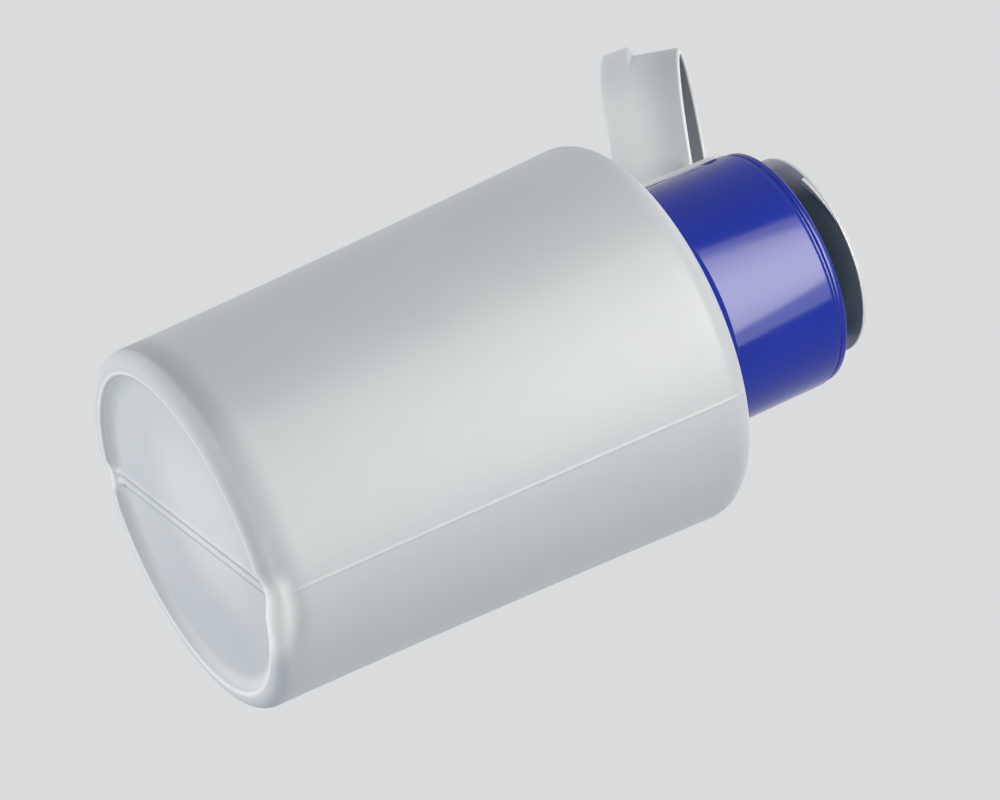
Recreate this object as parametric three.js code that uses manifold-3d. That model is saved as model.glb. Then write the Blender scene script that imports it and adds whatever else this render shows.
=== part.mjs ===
// A press-top dispenser for remover: a blow-moulded bottle, a screw closure with a blue cover ring,
// a press dish on a spring pump and a flip lid that stands open. Millimetres, +Z up.
// The bottle's axis is the Z axis of the construction, and the lid's hinge lies towards +X.
import * as THREE from "three";
import { mergeVertices } from "three/addons/utils/BufferGeometryUtils.js";
import Module from "manifold-3d";

const wasm = await Module();
wasm.setup();

// Fits that several pieces share
const seat = 0.05; // between faces that bear on each other
const slip = 0.3; // around pieces that are pushed over one another
const running = 0.08; // between the piston or stem and its bore
const overrun = 1; // how far a cutting tool passes the faces that it cuts

// Counts of faces around a turned piece
const broad = 48;
const middle = 32;
const small = 20;

// Bottle
const bottleHeight = 81.7; // foot to the top of the shoulder's rounding
const footRadius = 28.75; // side of the bottle just above its foot
const shoulderRadius = 30.75; // its widest place, just under the shoulder
const footRounding = 3;
const shoulderRounding = 4;
const bottleWall = 1.2;
const baseRecess = 1.6; // the base panel stands this far above the foot
const footRingWidth = 1;
const recessSlope = 1.1; // width of the slope from the foot ring to the panel
const shoulderRise = 1.1; // from the rounding up to the root of the neck
const flareShare = 1.4; // the side's width grows with this power of the height
const weldRidgeWidth = 0.8;
const weldGrooveWidth = 0.9;
const weldRidgeHeight = 1.05;
const notchWidth = 7; // dip in the foot ring where the weld crosses it
const notchDepth = 0.8;
const partingWidth = 0.5; // raised line where the two mould halves met
const partingHeight = 0.15;

// Neck and its thread
const neckHeight = 15.5;
const neckWall = 2.55; // at the root of the thread
const threadPitch = 4.233; // six turns to the inch
const threadTurns = 1.5;
const neckBead = 1.05; // radius of the rounded thread on the neck
const closureBead = 0.75; // and inside the closure
const threadClearance = 0.5; // from the neck's thread to the closure's bore
const threadTop = 2.6; // from the neck's rim down to the middle of the last thread
const threadSteps = 24; // in one turn
const threadSides = 8;

// Screw closure, with its flange and back plate
const skirtWall = 1.3;
const flangeThickness = 0.9;
const ledgeThickness = 1.2; // presses the pump's flange on the gasket
const ledgeClearance = 0.4; // around the flange of the guide plug
const backPlateGap = 0.2; // between the collar and the plate that curves round its back
const backPlateThickness = 0.7;
const backPlateInset = 1.5; // half its width at the shoulder is the collar's radius less this
const backPlateTaper = 3.9; // and it narrows by this much at each side up to the hinge

// Blue cover ring
const collarRadius = 19.4; // the closure, the neck, the dish and the lid follow it
const collarWall = 1.4;
const collarRise = 3.8; // from the closure's ledge up to the collar's top
const collarLipWidth = 2.5; // from the collar's side to the opening around the dish
const collarLip = 1.2;
const collarEdge = 0.6; // rounding of its lower edge
const beadRadius = 0.7; // rounded bead at the top edge
const beadSetback = 0.25; // the bead stands this far inside the ring's side
const grooveHeight = 0.45;
const grooveDepth = 0.45;

// Pump flange and gasket
const gasketThickness = 0.95;
const pumpFlangeThickness = 1.2;
const pumpFlangeReach = 0.15; // past the root of the neck's thread

// Pump barrel
const barrelBore = 5.8;
const barrelWall = 1.1;
const barrelDepth = 25; // from the flange's top to the floor that carries the ball cage
const ballChamberRadius = 2.3;
const inletBore = 1.3;
const seatCone = 1; // height of the cone that the inlet ball rests in
const seatLand = 1; // straight bore under the cone
const socketDepth = 8; // how far the dip tube goes into the barrel's tail
const socketWall = 1.3;

// Dip tube
const tubeRadius = 2.5;
const tubeBore = 1.8;
const tubeFloorGap = 1.8; // between the tube's point and the bottle's floor
const tubeSlant = 3; // the end is cut on a slant this much longer at one side

// Valve balls
const inletBallRadius = 1.6;
const inletBallLift = 1.2;
const outletBallRadius = 1.3;
const outletBallLift = 0.8;

// Guide plug in the barrel's mouth
const capFlangeRadius = 9;
const capFlangeThickness = 1;
const wellClearance = 0.5; // around the dish's hub, which sinks into a well in the plug
const wellSpare = 0.4; // depth of the well past the hub's length
const capWebThickness = 1;
const rootRadius = 0.35; // small rounding at the plug's rim

// Stem, piston, tip and spring
const stemRadius = 2.5;
const stemBore = 1;
const pistonStop = 0.3; // between the raised piston and the guide plug
const pistonLength = 5;
const pistonLip = 0.8;
const pistonHub = 1.2; // wall around the stem
const tipHead = 2.4; // length of the plug's head under the stem
const tipClearance = 0.7; // from the tip's head to the barrel's bore
const tipPlug = 4; // length of its shank in the stem's bore
const tipPort = 0.5; // half width of the two channels along its shank
const cageThickness = 1.9;
const cageHole = 1;
const cageSlotWidth = 1.2;
const cageSlotReach = 3.4;
const springWire = 0.35; // radius of the wire
const springInset = 0.8; // from the edge of the tip's head to the middle of the coil
const springTurns = 6;
const springSteps = 12;
const springSides = 6;

// Press dish
const stroke = 4; // how far the dish goes down
const dishClearance = 0.8; // from the rim to the collar's opening
const dishDepth = 5; // from the underside of its middle up to its rim
const dishWall = 1; // in the middle; the bowl thins out to its rim
const dishRimWidth = 0.7;
const hubRadius = 4;
const hubLength = 3.2;
const outletChamber = 1.9;
const lugWidth = 0.95; // short rib under the rim, broad at one end and running out at the other
const lugHeight = 0.8;
const lugStart = 108; // degrees round from +X
const lugSpan = 37;
const lugSteps = 6;

// Slotted cap over the outlet ball
const outletCapRadius = 3.1;
const outletCapWall = 0.6;
const outletCapDome = 0.5;
const outletSlotWidth = 0.7;

// Flip lid and its hinge
const lidInset = 0.5; // the lid's side stands this far inside the collar's
const lidDepth = 13.1;
const lidWall = 1;
const lidRounding = 1.2;
const lidGap = 0.5; // between the closed lid and the top of the collar
const lidOpening = 149; // degrees open, as it stands
const hingeOffset = 3.7; // from the collar's side out to the hinge line
const hingeBead = 0.45;
const hingeMargin = 5; // from each end of the hinge to the corner of the back plate
const strapThickness = 0.6;
const strapGap = 0.15; // between a strap and the level of the hinge line
const lipShift = 2.9; // the thumb lip is a round shifted this far forward
const lipRise = 0.25; // its widest edge is this much larger than the lid
const lipTaper = 0.8; // and it narrows by this much up to the closed end
const lipHeight = 4.7;
const lipSlope = 0.7; // height of its sloped lower edge

// Radii and widths that follow from the sizes above
const skirtOutside = collarRadius - collarWall - slip;
const skirtBore = skirtOutside - skirtWall;
const neckRadius = skirtBore - threadClearance - neckBead; // at the root of the thread
const neckBore = neckRadius - neckWall;
const pumpFlangeRadius = neckRadius + pumpFlangeReach;
const ledgeHole = capFlangeRadius + ledgeClearance;
const capWell = hubRadius + wellClearance;
const capWellDepth = hubLength + wellSpare;
const tipRadius = barrelBore - tipClearance;
const springRadius = tipRadius - springInset;
const collarMouth = collarRadius - collarLipWidth;
const dishRadius = collarMouth - dishClearance;
const lidRadius = collarRadius - lidInset;
const hingeReach = collarRadius + hingeOffset;
const backPlateInside = collarRadius + backPlateGap;
const backPlateOutside = backPlateInside + backPlateThickness;
const backPlateLow = collarRadius - backPlateInset; // half widths, at the shoulder
const backPlateHigh = backPlateLow - backPlateTaper; // and at the hinge
const hingeWidth = 2 * (backPlateHigh - hingeMargin);

// Heights that follow
const neckFoot = bottleHeight + shoulderRise;
const neckTop = neckFoot + neckHeight;
const closureBottom = neckFoot + slip;
const flangeTop = closureBottom + flangeThickness;
const gasketTop = neckTop + seat + gasketThickness;
const pumpFlangeBottom = gasketTop + seat;
const pumpFlangeTop = pumpFlangeBottom + pumpFlangeThickness;
const ledgeBottom = pumpFlangeTop + seat;
const ledgeTop = ledgeBottom + ledgeThickness;
const barrelFloor = pumpFlangeTop - barrelDepth;
// A ball that rests on the edge of a bore stands this far above that edge.
const ballRise = (ball, bore) => Math.sqrt(ball * ball - bore * bore) + seat;
const inletBallHeight = barrelFloor - inletBallLift - inletBallRadius;
const coneBottom = inletBallHeight - ballRise(inletBallRadius, inletBore);
const coneTop = coneBottom + seatCone;
const socketTop = coneBottom - seatLand;
const tailBottom = socketTop - socketDepth;
const tubeTop = socketTop - seat;
const bottleFloor = baseRecess + bottleWall;
const tubeBottom = bottleFloor + tubeFloorGap;
const cageBottom = barrelFloor + seat;
const cageTop = cageBottom + cageThickness;
const capFlangeTop = pumpFlangeTop + seat + capFlangeThickness;
const wellFloor = capFlangeTop - capWellDepth;
const plugBottom = wellFloor - capWebThickness;
const collarTop = ledgeTop + collarRise;
const dishUnder = ledgeTop + stroke + slip;
const dishRim = dishUnder + dishDepth;
const dishFloor = dishUnder + dishWall;
const hubBottom = dishUnder - hubLength;
const stemTop = dishUnder - seat;
const stemBottom = plugBottom - pistonStop - pistonLength;
const tipBottom = stemBottom - seat - tipHead;
const outletBallHeight = stemTop + ballRise(outletBallRadius, stemBore);
const outletCeiling = outletBallHeight + outletBallRadius + outletBallLift + seat;
const lidSeat = collarTop + lidGap;
const hingeHeight = lidSeat - strapGap;

// Small tools for outlines and solids

const point = (radius, height) => new THREE.Vector2(radius, height);

// Points of an arc around a centre, from one angle to another in degrees.
function arc(centre, radius, from, to, steps) {
  const points = [];
  for (let i = 0; i <= steps; i++) {
    const angle = THREE.MathUtils.degToRad(from + ((to - from) * i) / steps);
    points.push(point(centre.x + radius * Math.cos(angle), centre.y + radius * Math.sin(angle)));
  }
  return points;
}

// A turned piece about Z. An outline that is off the axis at its ends is closed on itself.
function turned(outline, faces) {
  const points = outline.map((p) => p.clone());
  const first = points[0];
  if (first.x !== 0 || points[points.length - 1].x !== 0) points.push(first.clone());
  return new THREE.LatheGeometry(points, faces).rotateX(Math.PI / 2);
}

const ring = (inside, outside, bottom, top, faces) =>
  turned([point(inside, bottom), point(outside, bottom), point(outside, top), point(inside, top)], faces);

function block(xs, ys, zs) {
  const box = new THREE.BoxGeometry(xs[1] - xs[0], ys[1] - ys[0], zs[1] - zs[0]);
  return box.translate((xs[0] + xs[1]) / 2, (ys[0] + ys[1]) / 2, (zs[0] + zs[1]) / 2);
}

// A flat outline in the XZ plane, made this wide along Y.
function slab(outline, width) {
  const made = new THREE.ExtrudeGeometry(new THREE.Shape(outline), { depth: width, bevelEnabled: false });
  return made.rotateX(Math.PI / 2).translate(0, width / 2, 0);
}

// A rounded bar along a screw line of the given radius, pitch and number of turns.
function screwBar(radius, barRadius, pitch, turns, stepsPerTurn, sides) {
  const line = new THREE.Curve();
  line.getPoint = (t, target = new THREE.Vector3()) => {
    const angle = 2 * Math.PI * turns * t;
    return target.set(radius * Math.cos(angle), radius * Math.sin(angle), pitch * turns * t);
  };
  const section = new THREE.Shape(arc(point(0, 0), barRadius, 0, 360 - 360 / sides, sides - 1));
  const steps = Math.round(stepsPerTurn * turns);
  return new THREE.ExtrudeGeometry(section, { steps, extrudePath: line, bevelEnabled: false });
}

function solid(geometry) {
  const bare = geometry.clone();
  bare.deleteAttribute("normal");
  bare.deleteAttribute("uv");
  const merged = mergeVertices(bare, 1e-4);
  const mesh = new wasm.Mesh({
    numProp: 3,
    vertProperties: merged.attributes.position.array,
    triVerts: new Uint32Array(merged.index.array),
  });
  return new wasm.Manifold(mesh);
}

function geometryOf(body) {
  const mesh = body.getMesh();
  const made = new THREE.BufferGeometry();
  made.setAttribute("position", new THREE.BufferAttribute(mesh.vertProperties, 3));
  made.setIndex(new THREE.BufferAttribute(mesh.triVerts, 1));
  const faceted = made.toNonIndexed();
  faceted.computeVertexNormals();
  return faceted;
}

// One body from a first piece, the pieces joined to it and the pieces cut from it.
function worked(first, joined = [], removed = []) {
  let body = solid(first);
  for (const piece of joined) body = body.add(solid(piece));
  for (const piece of removed) body = body.subtract(solid(piece));
  return geometryOf(body);
}

const plastic = (color, roughness) => new THREE.MeshStandardMaterial({ color, roughness, metalness: 0 });
const naturalBottle = plastic(0xd4d9dd, 0.42);
const naturalMoulding = plastic(0xdfe3e5, 0.35);
const blueGloss = plastic(0x20309a, 0.18);
const smokyClear = plastic(0x65737c, 0.2);
const pumpWhite = plastic(0xe9ebea, 0.4);
const sealWhite = plastic(0xf1f0ea, 0.7);
const steel = new THREE.MeshStandardMaterial({ color: 0xb9bcc0, roughness: 0.25, metalness: 1 });

const dispenser = new THREE.Group();

function place(name, geometry, material, parent = dispenser) {
  const mesh = new THREE.Mesh(geometry, material);
  mesh.name = name;
  parent.add(mesh);
  return mesh;
}

// Bottle

const sideRadius = (share) => footRadius + (shoulderRadius - footRadius) * share ** flareShare;

// Points up the bottle's side, this far inside its outer surface.
function sidePoints(inset, steps) {
  const points = [];
  const low = footRounding;
  const high = bottleHeight - shoulderRounding;
  for (let i = 0; i <= steps; i++) {
    points.push(point(sideRadius(i / steps) - inset, low + ((high - low) * i) / steps));
  }
  return points;
}

function bottleGeometry() {
  const footEdge = footRadius - footRounding;
  const footInner = footEdge - footRingWidth;
  const shoulderEdge = shoulderRadius - shoulderRounding;
  const outside = [
    point(0, baseRecess),
    point(footInner - recessSlope, baseRecess),
    point(footInner, 0),
    ...arc(point(footEdge, footRounding), footRounding, -90, -15, 4),
    ...sidePoints(0, 6),
    ...arc(point(shoulderEdge, bottleHeight - shoulderRounding), shoulderRounding, 18, 90, 4),
    point(neckRadius, neckFoot),
    point(neckRadius, neckTop),
  ];
  const innerRounding = shoulderRounding - bottleWall;
  const inside = [
    point(neckBore, neckTop),
    point(neckBore, neckFoot - bottleWall),
    ...arc(point(shoulderEdge, bottleHeight - shoulderRounding), innerRounding, 90, 18, 3),
    ...sidePoints(bottleWall, 4).reverse(),
    point(footEdge, bottleFloor),
    point(0, bottleFloor),
  ];
  const thread = screwBar(neckRadius, neckBead, threadPitch, threadTurns, threadSteps, threadSides);
  thread.translate(0, 0, neckTop - threadTop - threadPitch * threadTurns);

  const weldReach = footInner - recessSlope / 2;
  const weldLevels = [baseRecess - weldRidgeHeight, baseRecess + bottleWall / 2];
  const ridgeOutside = weldGrooveWidth / 2 + weldRidgeWidth;
  const ridges = [
    block([-weldReach, weldReach], [weldGrooveWidth / 2, ridgeOutside], weldLevels),
    block([-weldReach, weldReach], [-ridgeOutside, -weldGrooveWidth / 2], weldLevels),
  ];

  const proud = sidePoints(-partingHeight, 6);
  const sunk = sidePoints(bottleWall / 2, 6).reverse();
  const line = slab([...proud, ...sunk], partingWidth);
  const lines = [line, line.clone().rotateZ(Math.PI)];

  const notchRadius = ((notchWidth / 2) ** 2 + notchDepth ** 2) / (2 * notchDepth);
  const notchLength = footRadius - weldReach + overrun;
  const notches = [-1, 1].map((side) => {
    const tool = new THREE.CylinderGeometry(notchRadius, notchRadius, notchLength, broad);
    tool.rotateZ(Math.PI / 2);
    return tool.translate(side * (weldReach + notchLength / 2), 0, notchDepth - notchRadius);
  });
  return worked(turned([...outside, ...inside], broad), [thread, ...ridges, ...lines], notches);
}

place("bottle", bottleGeometry(), naturalBottle);

// Screw closure: threaded skirt, ledge over the pump's flange, flange on the shoulder and back plate

function closureGeometry() {
  const flangeEdge = collarRadius - collarEdge;
  const skirt = turned(
    [
      point(skirtBore, closureBottom),
      point(flangeEdge, closureBottom),
      point(flangeEdge, flangeTop),
      point(skirtOutside, flangeTop),
      point(skirtOutside, ledgeTop),
      point(ledgeHole, ledgeTop),
      point(ledgeHole, ledgeBottom),
      point(skirtBore, ledgeBottom),
    ],
    broad,
  );
  const thread = screwBar(skirtBore, closureBead, threadPitch, threadTurns, threadSteps, threadSides);
  thread.translate(0, 0, neckTop - threadTop - threadPitch * (threadTurns + 0.5));

  // The back plate is cut from a foot and a thin wall, wide at the shoulder and narrow at the hinge.
  const plateTop = hingeHeight - strapGap;
  const wall = turned(
    [
      point(flangeEdge - overrun, closureBottom),
      point(backPlateOutside, closureBottom),
      point(backPlateOutside, plateTop),
      point(backPlateInside, plateTop),
      point(backPlateInside, flangeTop),
      point(flangeEdge - overrun, flangeTop),
    ],
    broad,
  );
  const outline = new THREE.Shape([
    point(-backPlateLow, closureBottom),
    point(backPlateLow, closureBottom),
    point(backPlateHigh, plateTop),
    point(-backPlateHigh, plateTop),
  ]);
  const keep = new THREE.ExtrudeGeometry(outline, { depth: backPlateOutside, bevelEnabled: false });
  keep.rotateX(Math.PI / 2).rotateZ(Math.PI / 2);
  const plate = geometryOf(solid(wall).intersect(solid(keep)));
  return worked(skirt, [thread, plate]);
}

place("screw_closure", closureGeometry(), naturalMoulding);

// Living hinge: a thin strap from the back plate, with a bead along the hinge line

function hingeGeometry() {
  const half = hingeWidth / 2;
  const levels = [hingeHeight - hingeBead, hingeHeight - strapGap];
  const strap = block([0, hingeReach], [-half, half], levels);
  const clear = ring(0, backPlateOutside + seat, levels[0] - overrun, levels[1] + overrun, broad);
  const bead = new THREE.CylinderGeometry(hingeBead, hingeBead, hingeWidth, small);
  return worked(strap, [bead.translate(hingeReach, 0, hingeHeight)], [clear]);
}

place("living_hinge", hingeGeometry(), naturalMoulding);

// Blue cover ring with its groove and bead

function collarGeometry() {
  const bottom = flangeTop + seat;
  const inside = skirtOutside + slip;
  const beadMiddle = point(collarRadius - beadSetback - beadRadius, collarTop - beadRadius);
  const grooveTop = beadMiddle.y - beadRadius / 2;
  const outline = [
    point(inside, bottom),
    point(collarRadius - collarEdge, bottom),
    ...arc(point(collarRadius - collarEdge, bottom + collarEdge), collarEdge, -60, 0, 2),
    point(collarRadius, grooveTop - 2 * grooveHeight),
    point(collarRadius - grooveDepth, grooveTop - grooveHeight),
    ...arc(beadMiddle, beadRadius, -30, 90, 4),
    point(collarMouth, collarTop),
    point(collarMouth, collarTop - collarLip),
    point(inside, collarTop - collarLip),
  ];
  return turned(outline, broad);
}

place("collar_shell", collarGeometry(), blueGloss);

// Gasket and pump barrel

place("neck_gasket", ring(neckBore, neckRadius, neckTop + seat, gasketTop, middle), sealWhite);

function housingGeometry() {
  const outside = barrelBore + barrelWall;
  const tail = tubeRadius + seat + socketWall;
  return turned(
    [
      point(barrelBore, pumpFlangeTop),
      point(barrelBore, barrelFloor),
      point(ballChamberRadius, barrelFloor),
      point(ballChamberRadius, coneTop),
      point(inletBore, coneBottom),
      point(inletBore, socketTop),
      point(tubeRadius + seat, socketTop),
      point(tubeRadius + seat, tailBottom),
      point(tail, tailBottom),
      point(tail, coneBottom),
      point(outside, barrelFloor - barrelWall),
      point(outside, pumpFlangeBottom),
      point(pumpFlangeRadius, pumpFlangeBottom),
      point(pumpFlangeRadius, pumpFlangeTop),
    ],
    middle,
  );
}

place("pump_housing", housingGeometry(), pumpWhite);

function housingCapGeometry() {
  const plug = barrelBore - running;
  const bottom = pumpFlangeTop + seat;
  return turned(
    [
      point(plug, bottom),
      point(capFlangeRadius, bottom),
      point(capFlangeRadius, capFlangeTop - rootRadius),
      point(capFlangeRadius - rootRadius, capFlangeTop),
      point(capWell, capFlangeTop),
      point(capWell, wellFloor),
      point(stemRadius + running, wellFloor),
      point(stemRadius + running, plugBottom),
      point(plug, plugBottom),
    ],
    middle,
  );
}

place("housing_cap", housingCapGeometry(), pumpWhite);

// Dip tube, cut on a slant at its lower end

function tubeGeometry() {
  const tube = ring(tubeBore, tubeRadius, tubeBottom, tubeTop, small);
  const wedge = slab(
    [
      point(-tubeRadius - overrun, tubeBottom - overrun),
      point(tubeRadius + overrun, tubeBottom - overrun),
      point(tubeRadius + overrun, tubeBottom + tubeSlant),
      point(-tubeRadius, tubeBottom),
      point(-tubeRadius - overrun, tubeBottom),
    ],
    2 * (tubeRadius + overrun),
  );
  return worked(tube, [], [wedge]);
}

place("dip_tube", tubeGeometry(), naturalMoulding);

function ballGeometry(radius, height) {
  return new THREE.SphereGeometry(radius, small, small / 2).rotateX(Math.PI / 2).translate(0, 0, height);
}

place("inlet_ball", ballGeometry(inletBallRadius, inletBallHeight), steel);

// Ball cage: a slotted disc that keeps the ball down and carries the spring

function cageGeometry() {
  const disc = ring(cageHole, barrelBore - running, cageBottom, cageTop, middle);
  const levels = [cageBottom - overrun, cageTop + overrun];
  const half = cageSlotWidth / 2;
  const slots = [
    block([-cageSlotReach, cageSlotReach], [-half, half], levels),
    block([-half, half], [-cageSlotReach, cageSlotReach], levels),
  ];
  return worked(disc, [], slots);
}

place("ball_cage", cageGeometry(), pumpWhite);

// Stem, piston and tip

place("stem", ring(stemBore, stemRadius, stemBottom, stemTop, small), pumpWhite);

function pistonGeometry() {
  const bore = stemRadius + seat;
  const hub = bore + pistonHub;
  const lip = barrelBore - running;
  const top = stemBottom + pistonLength;
  return turned(
    [
      point(bore, stemBottom),
      point(hub, stemBottom),
      point(hub, stemBottom + pistonLip),
      point(lip - pistonLip, stemBottom),
      point(lip, stemBottom),
      point(lip, stemBottom + pistonLip),
      point(hub + pistonLip, stemBottom + pistonLength / 2),
      point(lip, top - pistonLip),
      point(lip, top),
      point(lip - pistonLip, top),
      point(hub, top - pistonLip),
      point(hub, top),
      point(bore, top),
    ],
    middle,
  );
}

place("piston", pistonGeometry(), sealWhite);

function tipGeometry() {
  const shank = stemBore - running;
  const top = stemBottom + tipPlug;
  const head = stemBottom - seat;
  const body = turned(
    [
      point(0, tipBottom),
      point(springRadius - springWire - slip, tipBottom),
      point(springRadius - springWire - slip, tipBottom + tipHead / 2),
      point(tipRadius, tipBottom + tipHead / 2),
      point(tipRadius, head),
      point(shank, head),
      point(shank, top),
      point(0, top),
    ],
    small,
  );
  const channels = [-1, 1].map((side) => {
    const ys = [side * tipPort, side * (tipRadius + overrun)].sort((a, b) => a - b);
    return block([-tipPort, tipPort], ys, [head - tipPort, top + overrun]);
  });
  return worked(body, [], channels);
}

place("stem_tip", tipGeometry(), pumpWhite);

// Return spring: one wire from the ball cage to the shoulder of the stem's tip

function springGeometry() {
  const bottom = cageTop + seat + springWire;
  const top = tipBottom + tipHead / 2 - seat - springWire;
  const pitch = (top - bottom) / springTurns;
  const coil = screwBar(springRadius, springWire, pitch, springTurns, springSteps, springSides);
  return coil.translate(0, 0, bottom);
}

place("return_spring", springGeometry(), steel);

// Press dish: bowl, hub that grips the stem, chamber of the outlet ball and a lug under the rim

// Outline of a shallow bowl from the middle to its rim, as an arc about a point on the axis.
function bowlPoints(rim, lowest, highest, start, steps) {
  const depth = highest - lowest;
  const radius = (rim * rim + depth * depth) / (2 * depth);
  const from = THREE.MathUtils.radToDeg(Math.asin(start / radius)) - 90;
  const to = THREE.MathUtils.radToDeg(Math.asin(rim / radius)) - 90;
  return arc(point(0, lowest + radius), radius, from, to, steps);
}

function dishGeometry() {
  const socket = stemRadius + seat;
  const body = turned(
    [
      point(socket, hubBottom),
      point(hubRadius, hubBottom),
      ...bowlPoints(dishRadius, dishUnder, dishRim, hubRadius, 7),
      point(outletChamber, dishRim),
      point(outletChamber, dishUnder),
      point(socket, dishUnder),
    ],
    broad,
  );
  const lugOutside = dishRadius - dishRimWidth / 4;
  const lugOutline = arc(point(0, 0), lugOutside, lugStart, lugStart + lugSpan, lugSteps);
  for (let i = lugSteps - 1; i >= 0; i--) {
    const angle = THREE.MathUtils.degToRad(lugStart + (lugSpan * i) / lugSteps);
    const radius = lugOutside - lugWidth * (1 - i / lugSteps);
    lugOutline.push(point(radius * Math.cos(angle), radius * Math.sin(angle)));
  }
  const lugShape = new THREE.Shape(lugOutline);
  const lug = new THREE.ExtrudeGeometry(lugShape, { depth: lugHeight, bevelEnabled: false });
  lug.translate(0, 0, dishRim - lugHeight);

  // The bowl and the flat place that the slotted cap stands on
  const capPlace = outletCapRadius + slip;
  const hollow = turned(
    [
      point(0, dishFloor),
      point(capPlace, dishFloor),
      ...bowlPoints(dishRadius - dishRimWidth, dishFloor, dishRim, capPlace, 7),
      point(dishRadius - dishRimWidth, dishRim + overrun),
      point(0, dishRim + overrun),
    ],
    broad,
  );
  return worked(body, [lug], [hollow]);
}

place("press_dish", dishGeometry(), smokyClear);

place("outlet_ball", ballGeometry(outletBallRadius, outletBallHeight), steel);

// Slotted cap that stands on the dish's floor over the ball

function outletCapGeometry() {
  const bottom = dishFloor + seat;
  const top = outletCeiling + outletCapWall;
  const body = turned(
    [
      point(outletChamber, bottom),
      point(outletCapRadius, bottom),
      point(outletCapRadius, top - outletCapDome),
      point(outletCapRadius - outletCapDome, top),
      point(0, top),
      point(0, outletCeiling),
      point(outletChamber, outletCeiling),
    ],
    small,
  );
  const reach = outletCapRadius + overrun;
  const half = outletSlotWidth / 2;
  const levels = [outletBallHeight + outletBallRadius / 2, outletCeiling - outletSlotWidth / 4];
  const slots = [
    block([-reach, reach], [-half, half], levels),
    block([-half, half], [-reach, reach], levels),
  ];
  return worked(body, [], slots);
}

place("outlet_cap", outletCapGeometry(), pumpWhite);

// Flip lid, made closed about the hinge line and then swung open

function lidGeometry() {
  const top = lidSeat + lidDepth;
  const inside = lidRadius - lidWall;
  const innerRounding = lidRounding - lidWall / 2;
  const outer = turned(
    [
      point(0, lidSeat),
      point(lidRadius, lidSeat),
      ...arc(point(lidRadius - lidRounding, top - lidRounding), lidRounding, 0, 90, 4),
      point(0, top),
    ],
    broad,
  );
  const hollow = turned(
    [
      point(0, lidSeat - overrun),
      point(inside, lidSeat - overrun),
      ...arc(point(inside - innerRounding, top - lidWall - innerRounding), innerRounding, 0, 90, 2),
      point(0, top - lidWall),
    ],
    broad,
  );
  const half = hingeWidth / 2;
  const strapEnd = hingeReach - hingeBead - slip;
  const strap = block([inside + lidWall / 2, strapEnd], [-half, half], [lidSeat, lidSeat + strapThickness]);

  // The thumb lip, a flared round that is shifted towards the front
  const lipRounding = lidRounding / 2;
  const lipEdge = lidRadius + lipRise;
  const lip = turned(
    [
      point(0, top - lipHeight),
      point(lipEdge - lipShift / 2, top - lipHeight),
      point(lipEdge, top - lipHeight + lipSlope),
      ...arc(point(lipEdge - lipTaper - lipRounding, top - lipRounding), lipRounding, 0, 90, 2),
      point(0, top),
    ],
    broad,
  );
  const lid = worked(outer, [strap, lip.translate(-lipShift, 0, 0)], [hollow]);
  return lid.translate(-hingeReach, 0, -hingeHeight);
}

const lidPivot = new THREE.Group();
lidPivot.position.set(hingeReach, 0, hingeHeight);
lidPivot.rotation.y = THREE.MathUtils.degToRad(lidOpening);
dispenser.add(lidPivot);
place("flip_lid", lidGeometry(), naturalMoulding, lidPivot);

// The origin goes under the middle of the whole outline, on the surface that the foot stands on.
const bounds = new THREE.Box3().setFromObject(dispenser, true);
dispenser.position.x = -(bounds.min.x + bounds.max.x) / 2;

export default dispenser;
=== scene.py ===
# %% [markdown]
# A dispenser for nail polish remover: a milky squat bottle, a glossy blue ring around its pump, a
# shallow dish that is pressed with a cotton pad, and a flip lid that stands open behind it.
# The solids of the construction are loaded first as a fixed frame. Every visible piece is then made
# again with fine surfaces in the same place, and rides on the body that carries it. Blender works in
# metres. Sizes are easier to read in mm, so they are given in mm from the bottle's axis.

import cmath
import math

import bmesh
import bpy
import numpy as np
from mathutils import Matrix, Vector


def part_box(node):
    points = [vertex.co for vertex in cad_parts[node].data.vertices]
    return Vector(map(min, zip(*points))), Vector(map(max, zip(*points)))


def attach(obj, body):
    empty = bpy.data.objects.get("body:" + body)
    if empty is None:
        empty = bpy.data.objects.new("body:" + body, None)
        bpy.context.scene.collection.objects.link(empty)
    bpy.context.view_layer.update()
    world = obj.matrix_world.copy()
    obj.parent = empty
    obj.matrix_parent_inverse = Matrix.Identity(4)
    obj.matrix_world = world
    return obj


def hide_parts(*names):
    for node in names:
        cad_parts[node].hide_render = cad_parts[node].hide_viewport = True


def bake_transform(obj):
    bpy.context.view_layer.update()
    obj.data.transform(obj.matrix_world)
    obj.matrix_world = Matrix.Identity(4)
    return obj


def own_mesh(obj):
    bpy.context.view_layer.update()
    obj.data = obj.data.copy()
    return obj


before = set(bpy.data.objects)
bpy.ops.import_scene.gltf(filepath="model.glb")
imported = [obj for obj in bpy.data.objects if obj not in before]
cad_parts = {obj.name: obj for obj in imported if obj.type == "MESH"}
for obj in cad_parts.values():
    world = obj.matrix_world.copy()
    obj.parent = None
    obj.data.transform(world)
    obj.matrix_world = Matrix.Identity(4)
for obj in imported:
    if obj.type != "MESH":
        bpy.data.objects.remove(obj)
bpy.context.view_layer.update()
scene = bpy.context.scene
mm = 0.001
bottle_low, bottle_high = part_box("bottle")
axis_x = (bottle_low.x + bottle_high.x) / 2
seat, play = 0.05, 0.08


def from_axis(x, y, z):
    """A place in metres, from its place in mm beside the bottle's axis."""
    return axis_x + x * mm, y * mm, z * mm


def around(radius, angle, height):
    """A place on a circle about the axis, in mm."""
    return radius * math.cos(angle), radius * math.sin(angle), height


def levels(node):
    """Lowest and highest level of a solid in the frame, in mm."""
    return [corner.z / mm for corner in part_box(node)]


def half_width(node):
    low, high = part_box(node)
    return (high.y - low.y) / 2 / mm


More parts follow.
